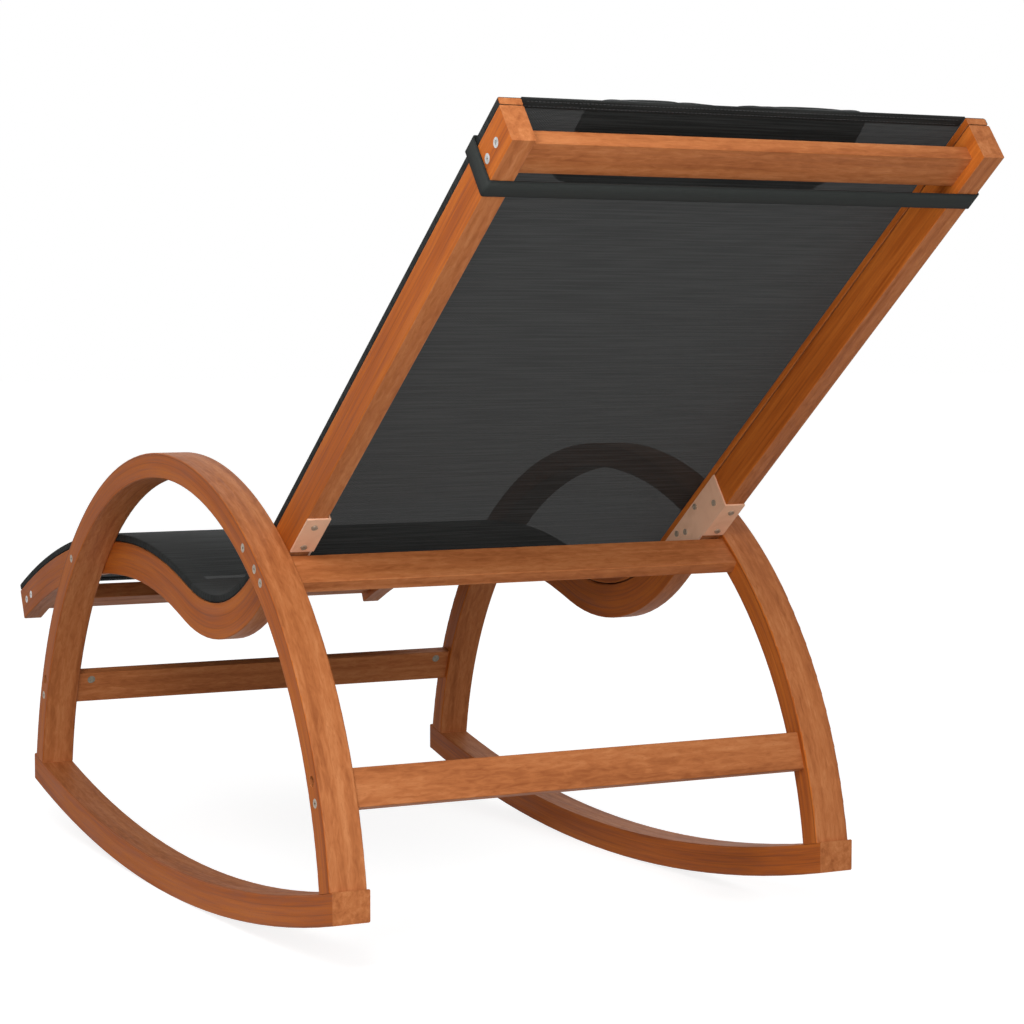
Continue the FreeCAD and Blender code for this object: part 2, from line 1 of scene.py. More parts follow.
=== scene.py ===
"""Looks of a rocking chaise lounge: stained bentwood, a taut mesh sling and a head pillow on a strap.

Metres. +X is the sitter's left, the sitter faces -Y, +Z is up, and the floor is z = 0.
"""

from __future__ import annotations

import json
import logging
import math
from collections.abc import Callable
from dataclasses import dataclass, field
from enum import Enum

import bmesh
import bpy
from mathutils import Matrix, Vector

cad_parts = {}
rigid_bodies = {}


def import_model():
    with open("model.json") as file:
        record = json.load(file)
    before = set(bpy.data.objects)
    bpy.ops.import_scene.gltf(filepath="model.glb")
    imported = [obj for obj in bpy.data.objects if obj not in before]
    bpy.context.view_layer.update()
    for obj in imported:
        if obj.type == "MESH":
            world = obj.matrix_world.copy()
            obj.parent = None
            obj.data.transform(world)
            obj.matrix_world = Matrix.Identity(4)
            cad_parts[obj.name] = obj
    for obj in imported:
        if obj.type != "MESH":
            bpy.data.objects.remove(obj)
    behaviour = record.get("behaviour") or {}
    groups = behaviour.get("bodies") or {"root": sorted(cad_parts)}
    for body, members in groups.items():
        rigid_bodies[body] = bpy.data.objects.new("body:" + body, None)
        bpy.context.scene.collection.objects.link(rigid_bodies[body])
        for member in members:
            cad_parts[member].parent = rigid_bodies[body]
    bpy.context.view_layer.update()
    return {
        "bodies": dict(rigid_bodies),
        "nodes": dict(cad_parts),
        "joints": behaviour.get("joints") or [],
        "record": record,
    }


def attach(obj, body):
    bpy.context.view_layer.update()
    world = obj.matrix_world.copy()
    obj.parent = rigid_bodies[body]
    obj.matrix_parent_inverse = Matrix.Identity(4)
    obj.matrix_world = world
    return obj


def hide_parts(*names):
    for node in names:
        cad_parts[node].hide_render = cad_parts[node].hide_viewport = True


log = logging.getLogger("lounge")

Colour = tuple[float, float, float]
Socket = bpy.types.NodeSocket
Value = float | Socket


# Node helpers


class Nodes:
    """Adds nodes to the tree of one new material or world and links them."""

    def __init__(self, name: str, kind: str = "materials") -> None:
        """Starts with an empty tree.

        Args:
            name: Name of the material or the world.
            kind: materials or worlds.
        """
        self.owner = getattr(bpy.data, kind).new(name)
        self.owner.use_nodes = True
        self.tree = self.owner.node_tree
        self.tree.nodes.clear()

    def add(self, kind: str, **settings: object) -> bpy.types.Node:
        """Adds one node.

        Args:
            kind: Blender's name for the node type.
            settings: Properties of the node.

        Returns:
            The node.
        """
        node = self.tree.nodes.new(kind)
        for key, value in settings.items():
            setattr(node, key, value)
        return node

    def feed(self, socket: Socket, value: object) -> None:
        """Links an output to an input, or writes a number or a colour on it.

        Args:
            socket: The input.
            value: What goes to it.
        """
        if isinstance(value, bpy.types.NodeSocket):
            self.tree.links.new(value, socket)
        elif isinstance(value, tuple) and len(value) == 3 and socket.type == "RGBA":
            socket.default_value = (*value, 1.0)
        else:
            socket.default_value = value

    def maths(self, operation: str, *values: Value) -> Socket:
        """Adds a Math node.

        Args:
            operation: Blender's name for the operation.
            values: What it works on.

        Returns:
            Its output.
        """
        node = self.add("ShaderNodeMath", operation=operation)
        for socket, value in zip(node.inputs, values):
            self.feed(socket, value)
        return node.outputs[0]

    def rescale(self, value: Value, low: float, high: float, to_low: float, to_high: float) -> Socket:
        """Maps a range of numbers to another range, smoothly and clamped.

        Args:
            value: The number to map.
            low: Start of its range.
            high: End of its range.
            to_low: What the start becomes.
            to_high: What the end becomes.

        Returns:
            The mapped number.
        """
        node = self.add("ShaderNodeMapRange", interpolation_type="SMOOTHSTEP")
        for socket, number in zip(node.inputs, (value, low, high, to_low, to_high)):
            self.feed(socket, number)
        return node.outputs[0]

    def vector(self, x: Value, y: Value, z: Value) -> Socket:
        """Joins three numbers into a vector.

        Args:
            x: First number.
            y: Second number.
            z: Third number.

        Returns:
            The vector.
        """
        node = self.add("ShaderNodeCombineXYZ")
        for socket, value in zip(node.inputs, (x, y, z)):
            self.feed(socket, value)
        return node.outputs[0]

    def noise(self, vector: Socket, scale: float, detail: float = 3.0, warp: float = 0.0) -> Socket:
        """Adds a Noise Texture.

        Args:
            vector: Where to read the pattern.
            scale: Patches per unit.
            detail: Octaves of finer noise.
            warp: How far the noise bends itself.

        Returns:
            The noise as a number near 0.5.
        """
        node = self.add("ShaderNodeTexNoise")
        self.feed(node.inputs["Vector"], vector)
        self.feed(node.inputs["Scale"], scale)
        self.feed(node.inputs["Detail"], detail)
        self.feed(node.inputs["Distortion"], warp)
        return node.outputs["Fac"]

    def blend(self, factor: Value, first: object, second: object, mode: str = "MIX") -> Socket:
        """Mixes two colours.

        Args:
            factor: Share of the second colour.
            first: The first colour or socket.
            second: The second colour or socket.
            mode: Blender's blend mode.

        Returns:
            The mixed colour.
        """
        node = self.add("ShaderNodeMix", data_type="RGBA", blend_type=mode)
        self.feed(node.inputs["Factor"], factor)
        self.feed(node.inputs[6], first)
        self.feed(node.inputs[7], second)
        return node.outputs[2]

    def switch(self, factor: Value, first: Value, second: Value) -> Socket:
        """Mixes two numbers.

        Args:
            factor: Share of the second number.
            first: The first number.
            second: The second number.

        Returns:
            The mixed number.
        """
        node = self.add("ShaderNodeMix", data_type="FLOAT")
        self.feed(node.inputs["Factor"], factor)
        self.feed(node.inputs[2], first)
        self.feed(node.inputs[3], second)
        return node.outputs[0]

    def bump(self, height: Socket, depth: float, strength: float = 1.0) -> Socket:
        """Turns a height into a bumped normal.

        Args:
            height: A height between 0 and 1.
            depth: What 1 stands for, in metres.
            strength: Share of the bump that shows.

        Returns:
            The normal.
        """
        node = self.add("ShaderNodeBump")
        self.feed(node.inputs["Height"], height)
        self.feed(node.inputs["Distance"], depth)
        self.feed(node.inputs["Strength"], strength)
        return node.outputs["Normal"]

    def place(self) -> Socket:
        """The place in the row frame, as one vector."""
        return self.add("ShaderNodeTexCoord").outputs["Object"]

    def object_xyz(self) -> tuple[Socket, Socket, Socket]:
        """Splits the place in the row frame.

        Returns:
            The three object coordinates.
        """
        parts = self.add("ShaderNodeSeparateXYZ")
        self.feed(parts.inputs[0], self.place())
        return parts.outputs[0], parts.outputs[1], parts.outputs[2]

    def uv(self) -> tuple[Socket, Socket]:
        """Splits the place on the flat cloth.

        Returns:
            The two UV coordinates, in metres.
        """
        parts = self.add("ShaderNodeSeparateXYZ")
        self.feed(parts.inputs[0], self.add("ShaderNodeTexCoord").outputs["UV"])
        return parts.outputs[0], parts.outputs[1]

    def surface(self, shader: Socket) -> bpy.types.Material:
        """Links the shader to the output and returns the material."""
        self.feed(self.add("ShaderNodeOutputMaterial").inputs["Surface"], shader)
        return self.owner

    def principled(self, values: dict[str, object]) -> bpy.types.Material:
        """Finishes the material with one Principled shader.

        Args:
            values: What goes to each of its inputs, by name.

        Returns:
            The material.
        """
        shader = self.add("ShaderNodeBsdfPrincipled")
        for name, value in values.items():
            self.feed(shader.inputs[name], value)
        return self.surface(shader.outputs[0])


# The path of the seat rails


@dataclass(frozen=True)
class Leg:
    """One straight or arc of the rail's centre line, which runs in the YZ plane."""

    y: float
    z: float
    heading: float
    length: float
    curve: float
    start: float

    def at(self, distance: float) -> tuple[float, float, float]:
        """Gives the place and heading at a distance from the leg's own start.

        Args:
            distance: Metres along the leg.

        Returns:
            y, z and heading, the heading in radians above +Y.
        """
        if self.curve == 0:
            return (
                self.y + distance * math.cos(self.heading),
                self.z + distance * math.sin(self.heading),
                self.heading,
            )
        turned = self.heading + distance * self.curve
        radius = 1 / self.curve
        return (
            self.y + radius * (math.sin(turned) - math.sin(self.heading)),
            self.z - radius * (math.cos(turned) - math.cos(self.heading)),
            turned,
        )


@dataclass
class SeatPath:
    """The rail's centre line from the front end over the hump and the dip to the top of the back."""

    crest_y: float = -0.2898
    crest_z: float = 0.3553
    front_radius: float = 1.026
    front_angle: float = 24.5
    rear_radius: float = 0.620
    dip_y: float = -0.0101
    dip_z: float = 0.3089
    dip_radius: float = 0.2386
    back_angle: float = 37.7
    back_straight: float = 0.7325
    legs: list[Leg] = field(default_factory=list)

    def __post_init__(self) -> None:
        """Lays the legs one after the other."""
        rise = (self.dip_z + self.dip_radius) - (self.crest_z - self.rear_radius)
        run = self.dip_y - self.crest_y
        reach = self.rear_radius + self.dip_radius
        slope = math.sqrt(run**2 + rise**2 - reach**2)
        slope_angle = math.atan2(run, rise) - math.atan2(slope, reach)
        front = math.radians(self.front_angle)
        here = (
            self.crest_y - self.front_radius * math.sin(front),
            self.crest_z - self.front_radius * (1 - math.cos(front)),
            front,
        )
        back = math.radians(self.back_angle)
        start = 0.0
        for length, curve in (
            (self.front_radius * front, -1 / self.front_radius),
            (self.rear_radius * slope_angle, -1 / self.rear_radius),
            (slope, 0.0),
            (self.dip_radius * (slope_angle + back), 1 / self.dip_radius),
            (self.back_straight, 0.0),
        ):
            leg = Leg(*here, length, curve, start)
            self.legs.append(leg)
            here = leg.at(length)
            start += length

    @property
    def length(self) -> float:
        """Length of the whole centre line."""
        return self.legs[-1].start + self.legs[-1].length

    def point(self, distance: float, x: float, lift: float) -> Vector:
        """Gives a point beside the centre line.

        Args:
            distance: Metres from the front end.
            x: Place across the seat.
            lift: Metres from the centre line towards the sitter.

        Returns:
            The point in the row frame.
        """
        leg = [leg for leg in self.legs if leg.start <= max(distance, 0.0)][-1]
        y, z, heading = leg.at(distance - leg.start)
        return Vector((x, y - lift * math.sin(heading), z + lift * math.cos(heading)))

    def frame_at(self, distance: float, x: float, lift: float) -> Matrix:
        """Gives a local frame beside the centre line: local Y runs along it and local Z towards the sitter.

        Args:
            distance: Metres from the front end.
            x: Place across the seat.
            lift: Metres from the centre line towards the sitter.

        Returns:
            The matrix that takes local points to the row frame.
        """
        leg = [leg for leg in self.legs if leg.start <= max(distance, 0.0)][-1]
        heading = leg.at(distance - leg.start)[2]
        return Matrix.Translation(self.point(distance, x, lift)) @ Matrix.Rotation(heading, 4, "X")

    def back_place(self, from_end: float, lift: float) -> Matrix:
        """Local frame in the middle of the straight back, at a distance down from its top end."""
        return self.frame_at(self.length - from_end, 0.0, lift)


# Grain directions of the wood


class GrainRun(Enum):
    """Which way the grain of a wooden piece runs."""

    ACROSS = "along the X axis"
    ARCH = "round the centre of the side frames"
    RUNNER = "round the centre of the runners"
    RAIL = "along the rails"


@dataclass(frozen=True)
class Ring:
    """A circle in the YZ plane that a bent piece follows."""

    y: float
    z: float
    radius: float


ARCH_RING = Ring(-0.0548, 0.013, 0.4665)
RUNNER_RING = Ring(-0.0548, 2.070, 2.054)


class GrainCoordinates:
    """Works out, in nodes, the place of a point along, across and through the boards of a piece."""

    def __init__(self, nodes: Nodes, path: SeatPath) -> None:
        """Keeps the tree to add to.

        Args:
            nodes: The material's nodes.
            path: The rail's centre line.
        """
        self.nodes = nodes
        self.path = path
        self.x, self.y, self.z = nodes.object_xyz()

    def round_ring(self, ring: Ring) -> tuple[Socket, Socket]:
        """Reads a place by the ring that a bent piece follows.

        Args:
            ring: The circle.

        Returns:
            Distance round the ring, and height outwards from it.
        """
        n = self.nodes
        dy = n.maths("SUBTRACT", self.y, ring.y)
        dz = n.maths("SUBTRACT", self.z, ring.z)
        angle = n.maths("ARCTAN2", dz, dy)
        radius = n.maths("SQRT", n.maths("ADD", n.maths("MULTIPLY", dy, dy), n.maths("MULTIPLY", dz, dz)))
        return n.maths("MULTIPLY", angle, ring.radius), n.maths("SUBTRACT", radius, ring.radius)

    def along_leg(self, leg: Leg) -> tuple[Socket, Socket]:
        """Reads a place by one leg of the rail.

        Args:
            leg: The straight or arc.

        Returns:
            Distance along the rail, and height above its centre line.
        """
        n = self.nodes
        if leg.curve == 0:
            return self.dot(leg, 0.0, leg.start), self.dot(leg, math.pi / 2, 0.0)
        radius = 1 / leg.curve
        centre_y = leg.y - radius * math.sin(leg.heading)
        centre_z = leg.z + radius * math.cos(leg.heading)
        side = 1.0 if radius > 0 else -1.0
        dy = n.maths("MULTIPLY", n.maths("SUBTRACT", self.y, centre_y), side)
        dz = n.maths("MULTIPLY", n.maths("SUBTRACT", centre_z, self.z), side)
        heading = n.maths("ARCTAN2", dy, dz)
        away = n.maths("SQRT", n.maths("ADD", n.maths("MULTIPLY", dy, dy), n.maths("MULTIPLY", dz, dz)))
        along = n.maths("MULTIPLY_ADD", heading, radius, leg.start - radius * leg.heading)
        return along, n.maths("MULTIPLY_ADD", away, -side, abs(radius) * side)

    def dot(self, leg: Leg, turn: float, offset: float) -> Socket:
        """Reads a place by one direction from a leg's start.

        Args:
            leg: The straight or arc.
            turn: Angle from its heading to the direction.
            offset: What is added to the distance.

        Returns:
            The distance in that direction.
        """
        n = self.nodes
        across = math.cos(leg.heading + turn)
        up = math.sin(leg.heading + turn)
        constant = offset - leg.y * across - leg.z * up
        return n.maths("MULTIPLY_ADD", self.y, across, n.maths("MULTIPLY_ADD", self.z, up, constant))

    def along_path(self) -> tuple[Socket, Socket]:
        """Reads a place by the whole rail.

        Returns:
            Distance along the rail, and height above its centre line.
        """
        n = self.nodes
        along, height = self.along_leg(self.path.legs[0])
        for leg in self.path.legs[1:]:
            reached = n.maths("GREATER_THAN", self.dot(leg, 0.0, 0.0), 0.0)
            leg_along, leg_height = self.along_leg(leg)
            along = n.switch(reached, along, leg_along)
            height = n.switch(reached, height, leg_height)
        return along, height

    def read(self, run: GrainRun) -> tuple[Socket, Socket, Socket]:
        """Gives the distances along, across and through the boards.

        Args:
            run: Which way the grain runs.

        Returns:
            Three sockets in metres.
        """
        if run is GrainRun.ACROSS:
            return self.x, self.y, self.z
        if run is GrainRun.RAIL:
            along, height = self.along_path()
        else:
            along, height = self.round_ring(ARCH_RING if run is GrainRun.ARCH else RUNNER_RING)
        return along, self.x, height


# Finishes


@dataclass(frozen=True)
class StainedWood:
    """Stained laminated wood: long grain on left and right faces, a short clouded figure on the others."""

    name: str
    run: GrainRun
    ply: float = 0.0
    shift: float = 0.0
    painted_edge_shade: float = 0.0
    dark: Colour = (0.295, 0.086, 0.024)
    middle: Colour = (0.430, 0.141, 0.044)
    light: Colour = (0.530, 0.200, 0.072)
    line: Colour = (0.200, 0.050, 0.011)
    side_tint: Colour = (1.08, 0.80, 0.33)

    def build(self, path: SeatPath) -> bpy.types.Material:
        """Builds the material.

        Args:
            path: The rail's centre line, for grain that follows it.

        Returns:
            The material.
        """
        n = Nodes(self.name)
        place = GrainCoordinates(n, path).read(self.run)
        streak = self.pattern(n, place, 3.5, 75.0, 4.0, 0.5)
        figure = self.pattern(n, place, 55.0, 230.0, 3.0, 0.8)
        grain = self.pattern(n, place, 13.0, 420.0, 3.0, 0.2)
        pore = self.pattern(n, place, 170.0, 1200.0, 1.0, 0.0)
        side = self.side_share(n)
        cloud = n.maths("MULTIPLY_ADD", figure, 0.40, n.maths("MULTIPLY", streak, 0.60))
        lines = n.maths("MULTIPLY_ADD", grain, 0.45, n.maths("MULTIPLY", streak, 0.55))
        colour = self.ramp(n, n.switch(side, cloud, lines))
        colour = n.blend(side, colour, n.blend(1.0, colour, self.side_tint, "MULTIPLY"))
        colour = n.blend(n.rescale(pore, 0.58, 0.74, 0.0, 0.40), colour, self.dark)
        if self.ply:
            colour = n.blend(self.ply_line(n, place[2], streak, side), colour, self.line)
        return n.principled({
            "Base Color": colour,
            "Roughness": n.rescale(grain, 0.3, 0.7, 0.50, 0.64),
            "Specular IOR Level": 0.14,
            "Normal": n.bump(n.maths("SUBTRACT", grain, pore), 0.00022, 0.4),
        })

    def pattern(
        self,
        n: Nodes,
        place: tuple[Socket, Socket, Socket],
        along: float,
        beside: float,
        detail: float,
        warp: float,
    ) -> Socket:
        """Noise that is stretched along the grain.

        Args:
            n: The material's nodes.
            place: Distances along, across and through the boards.
            along: Patches per metre along the grain.
            beside: Patches per metre across it.
            detail: Octaves of finer noise.
            warp: How far the noise bends itself.

        Returns:
            The noise as a number near 0.5.
        """
        moved = n.maths("MULTIPLY_ADD", place[0], along, self.shift * along)
        vector = n.vector(moved, n.maths("MULTIPLY", place[1], beside), n.maths("MULTIPLY", place[2], beside))
        return n.noise(vector, 1.0, detail, warp)

    def side_share(self, n: Nodes) -> Socket:
        """Tells the faces that look left or right, where the long grain shows.

        Args:
            n: The material's nodes.

        Returns:
            1 on those faces, and 0 on the broad ones.
        """
        parts = n.add("ShaderNodeSeparateXYZ")
        n.feed(parts.inputs[0], n.add("ShaderNodeNewGeometry").outputs["Normal"])
        return n.rescale(n.maths("ABSOLUTE", parts.outputs[0]), 0.45, 0.8, 0.0, 1.0)

    def ramp(self, n: Nodes, tone: Socket) -> Socket:
        """Turns a tone into dark, middle and light wood.

        Args:
            n: The material's nodes.
            tone: A number near 0.5.

        Returns:
            The colour.
        """
        node = n.add("ShaderNodeValToRGB")
        stops = node.color_ramp.elements
        stops[0].position, stops[0].color = 0.34, (*self.dark, 1.0)
        stops[1].position, stops[1].color = 0.66, (*self.light, 1.0)
        stops.new(0.50).color = (*self.middle, 1.0)
        n.feed(node.inputs[0], tone)
        return node.outputs[0]

    def ply_line(self, n: Nodes, through: Socket, streak: Socket, side: Socket) -> Socket:
        """Draws thin dark glue lines between the plies, which waver a little and fade in and out. Where an
        edge place is given, it also paints a thin dark line of shade along the outer edge of the side face.

        Args:
            n: The material's nodes.
            through: Distance through the boards.
            streak: Noise that makes the lines waver.
            side: 1 on the faces that show the lines.

        Returns:
            The share of glue line and of painted edge shade.
        """
        wavering = n.maths("MULTIPLY_ADD", streak, self.ply * 0.16, through)
        phase = n.maths("FRACT", n.maths("DIVIDE", wavering, self.ply))
        away = n.maths("ABSOLUTE", n.maths("SUBTRACT", phase, 0.5))
        fading = n.rescale(streak, 0.35, 0.62, 0.55, 0.05)
        share = n.maths("MULTIPLY", n.rescale(away, 0.0, 0.09, 1.0, 0.0), fading)
        # Painted shade: a thin dark line near the outer edge of the side face, standing in for the shade of
        # the edge, not a glue line.
        if self.painted_edge_shade:
            away = n.maths("ABSOLUTE", n.maths("SUBTRACT", through, self.painted_edge_shade))
            share = n.maths("MAXIMUM", share, n.rescale(away, 0.0003, 0.0010, 0.65, 0.0))
        return n.maths("MULTIPLY", side, share)


@dataclass(frozen=True)
class MeshWeave:
    """Coated mesh cloth: round yarns across each other, with small gaps that let a little light through."""

    name: str
    pitch: float = 0.0016
    yarn: Colour = (0.020, 0.0215, 0.0210)
    yarn_light: Colour = (0.036, 0.0380, 0.0373)
    gap_clearness: float = 0.192

    def build(self) -> bpy.types.Material:
        """Builds the material from the cloth's UV map, in metres.

        Returns:
            The material.
        """
        n = Nodes(self.name)
        u, v = n.uv()
        warp = self.yarn_profile(n, u)
        weft = self.yarn_profile(n, v)
        rows = n.noise(n.vector(n.maths("MULTIPLY", u, 9.0), n.maths("MULTIPLY", v, 420.0), 0.0), 1.0, 2.0)
        height = n.maths("MAXIMUM", warp, n.maths("MULTIPLY", weft, 0.9))
        gap = n.maths("MULTIPLY", n.maths("SUBTRACT", 1.0, warp), n.maths("SUBTRACT", 1.0, weft))
        colour = n.blend(n.rescale(rows, 0.35, 0.68, 0.0, 1.0), self.yarn, self.yarn_light)
        return n.principled({
            "Base Color": colour,
            "Roughness": 0.75,
            "Specular IOR Level": 0.06,
            "Normal": n.bump(height, 0.0003, 0.35),
            "Alpha": n.maths("SUBTRACT", 1.0, n.maths("MULTIPLY", gap, self.gap_clearness)),
        })

    def yarn_profile(self, n: Nodes, coordinate: Socket) -> Socket:
        """Round cross-section of a row of yarns: 1 on a yarn's back and 0 between two."""
        phase = n.maths("FRACT", n.maths("DIVIDE", coordinate, self.pitch))
        return n.maths("SINE", n.maths("MULTIPLY", phase, math.pi))


@dataclass(frozen=True)
class ElasticBand:
    """Woven elastic with fine ribs across its length and a firmer edge."""

    name: str
    rib: float = 0.0011
    colour: Colour = (0.027, 0.030, 0.028)
    edge_colour: Colour = (0.017, 0.019, 0.018)
    width: float = 0.020

    def build(self) -> bpy.types.Material:
        """Builds the material from the strap's UV map, in metres.

        Returns:
            The material.
        """
        n = Nodes(self.name)
        u, v = n.uv()
        rib = n.maths("SINE", n.maths("MULTIPLY", u, 2 * math.pi / self.rib))
        cord = n.maths("SINE", n.maths("MULTIPLY", v, 2 * math.pi / (self.rib * 1.8)))
        from_middle = n.maths("ABSOLUTE", n.maths("SUBTRACT", v, self.width / 2))
        edge = n.rescale(from_middle, 0.40 * self.width, 0.46 * self.width, 0.0, 1.0)
        fuzz = n.noise(n.vector(u, v, 0.0), 900.0, 2.0)
        band = n.blend(edge, self.colour, self.edge_colour)
        return n.principled({
            "Base Color": n.blend(n.maths("MULTIPLY", fuzz, 0.4), band, self.edge_colour),
            "Roughness": 0.86,
            "Specular IOR Level": 0.2,
            "Normal": n.bump(n.maths("MULTIPLY_ADD", rib, 0.6, cord), 0.00015, 0.5),
        })


@dataclass(frozen=True)
class Thread:
    """Twisted sewing thread."""

    name: str
    colour: Colour = (0.020, 0.021, 0.022)

    def build(self) -> bpy.types.Material:
        """Builds the material with a fine twist.

        Returns:
            The material.
        """
        n = Nodes(self.name)
        twist = n.noise(n.place(), 1800.0, 1.0)
        return n.principled({
            "Base Color": n.blend(twist, self.colour, tuple(2.2 * share for share in self.colour)),
            "Roughness": 0.6,
            "Normal": n.bump(twist, 0.0001, 0.5),
        })


@dataclass(frozen=True)
class BracketPaint:
    """Copper-pink lacquer on steel plate, a little uneven."""

    name: str
    colour: Colour = (0.840, 0.500, 0.325)
    worn: Colour = (0.740, 0.420, 0.265)

    def build(self) -> bpy.types.Material:
        """Builds the material on object coordinates.

        Returns:
            The material.
        """
        n = Nodes(self.name)
        place = n.place()
        cloud = n.noise(place, 38.0, 4.0, 0.5)
        grit = n.noise(place, 1400.0, 2.0)
        return n.principled({
            "Base Color": n.blend(n.rescale(cloud, 0.40, 0.68, 0.0, 0.7), self.colour, self.worn),
            "Roughness": n.rescale(cloud, 0.3, 0.7, 0.42, 0.55),
            "Normal": n.bump(grit, 0.00012, 0.35),
        })


@dataclass(frozen=True)
class PlatedSteel:
    """Plated steel of screws, bolts and barrel nuts."""

    name: str
    colour: Colour = (0.640, 0.640, 0.625)
    dull: Colour = (0.400, 0.395, 0.380)
    metallic: float = 0.75

    def build(self) -> bpy.types.Material:
        """Builds the material on object coordinates.

        Returns:
            The material.
        """
        n = Nodes(self.name)
        place = n.place()
        cloud = n.noise(place, 320.0, 3.0)
        scratch = n.noise(place, 2600.0, 2.0, 1.0)
        return n.principled({
            "Base Color": n.blend(n.rescale(cloud, 0.40, 0.66, 0.0, 0.8), self.colour, self.dull),
            "Metallic": self.metallic,
            "Roughness": n.rescale(scratch, 0.3, 0.7, 0.30, 0.48),
            "Normal": n.bump(scratch, 0.00005, 0.3),
        })


# Mesh helpers


def dress(node: str, frame: dict, material: bpy.types.Material) -> None:
    """Gives a carried-over CAD node its material.

    Args:
        node: Name of the node.
        material: The finish.
    """
    data = frame["nodes"][node].data
    data.materials.clear()
    data.materials.append(material)
    log.info("%s dressed in %s", node, material.name)


def new_piece(
    name: str, bm: bmesh.types.BMesh, material: bpy.types.Material, smooth: bool = True
) -> bpy.types.Object:
    """Makes an object from a finished bmesh.

    Args:
        name: Name of the piece.
        bm: The mesh, which is freed.
        material: The finish.
        smooth: Whether faces are shaded smooth.

    Returns:
        The new object, linked to the scene.
    """
    mesh = bpy.data.meshes.new(name)
    for face in bm.faces:
        face.smooth = smooth
    bm.to_mesh(mesh)
    bm.free()
    mesh.materials.append(material)
    piece = bpy.data.objects.new(name, mesh)
    bpy.context.scene.collection.objects.link(piece)
    log.info("%s has %d faces", name, len(mesh.polygons))
    return piece


def write_uv(bm: bmesh.types.BMesh, name: str, place: Callable[[bmesh.types.BMLoop], tuple]) -> None:
    """Writes a UV map in metres.

    Args:
        bm: The mesh.
        name: Name of the map.
        place: Gives the two coordinates of a face corner.
    """
    layer = bm.loops.layers.uv.new(name)
    for face in bm.faces:
        for loop in face.loops:
            loop[layer].uv = place(loop)


def apply_modifiers(piece: bpy.types.Object) -> None:
    """Bakes the modifiers of a piece into its mesh.

    Args:
        piece: The piece.
    """
    bpy.context.view_layer.update()
    evaluated = piece.evaluated_get(bpy.context.evaluated_depsgraph_get())
    mesh = bpy.data.meshes.new_from_object(evaluated)
    piece.modifiers.clear()
    piece.data = mesh


# Sub-assemblies


@dataclass
class SideFrames:
    """The two bent arches on their curved runners."""

    arch_ply: float = 0.0070
    # Distance through the boards of the painted shade line along the arches' outer edge.
    arch_painted_edge_shade: float = 0.0118
    runner_ply: float = 0.0100

    def dress_all(self, frame: dict, path: SeatPath) -> None:
        """Gives the arches and the runners their wood.

        Args:
            path: The rail's centre line.
        """
        for side, shift in (("left", 0.0), ("right", 3.7)):
            arch = StainedWood(f"arch_wood_{side}", GrainRun.ARCH, self.arch_ply, shift, self.arch_painted_edge_shade)
            runner = StainedWood(f"runner_wood_{side}", GrainRun.RUNNER, self.runner_ply, shift + 1.9)
            dress(f"arch_{side}", frame, arch.build(path))
            dress(f"runner_{side}", frame, runner.build(path))


@dataclass
class SeatFrame:
    """The rails, the clamp strips, the cross bars and the corner brackets."""

    rail_ply: float = 0.0133

    def dress_all(self, frame: dict, path: SeatPath) -> None:
        """Gives every wooden piece its grain and the brackets their paint.

        Args:
            path: The rail's centre line.
        """
        for side, shift in (("left", 0.3), ("right", 5.1)):
            rail = StainedWood(f"rail_wood_{side}", GrainRun.RAIL, self.rail_ply, shift)
            strip = StainedWood(f"strip_wood_{side}", GrainRun.RAIL, 0.0, shift + 2.2)
            dress(f"rail_{side}", frame, rail.build(path))
            dress(f"clamp_strip_{side}", frame, strip.build(path))
        bars = ("head_crossbar", "front_crossbar", "rear_crossbar", "front_stretcher", "rear_stretcher")
        for number, bar in enumerate(bars):
            dress(bar, frame, StainedWood(f"{bar}_wood", GrainRun.ACROSS, 0.0, 1.3 * number).build(path))
        paint = BracketPaint("bracket_paint").build()
        dress("bracket_left", frame, paint)
        dress("bracket_right", frame, paint)


@dataclass
class Fixings:
    """Screws, bolts and barrel nuts, by their plating."""

    zinc: PlatedSteel = PlatedSteel("zinc_plate")
    zinc_nodes: tuple[str, ...] = ("head_crossbar_screws", "front_crossbar_screws", "foot_screws")
    nickel: PlatedSteel = PlatedSteel("nickel_plate", (0.420, 0.350, 0.270), (0.300, 0.240, 0.180), 0.40)
    nickel_nodes: tuple[str, ...] = (
        "rear_crossbar_screws", "rail_screws", "stretcher_screws", "clamp_strip_screws", "bracket_screws")
    dull: PlatedSteel = PlatedSteel("dull_plate", (0.225, 0.200, 0.150), (0.130, 0.115, 0.085), 0.30)
    dull_nodes: tuple[str, ...] = ("barrel_nuts", "stretcher_bolts")

    def dress_all(self, frame: dict) -> None:
        """Gives the fixings bright zinc, nickel or dull yellowed plating.
        """
        plated = (
            (self.zinc, self.zinc_nodes), (self.nickel, self.nickel_nodes), (self.dull, self.dull_nodes))
        for plating, nodes in plated:
            material = plating.build()
            for node in nodes:
                dress(node, frame, material)


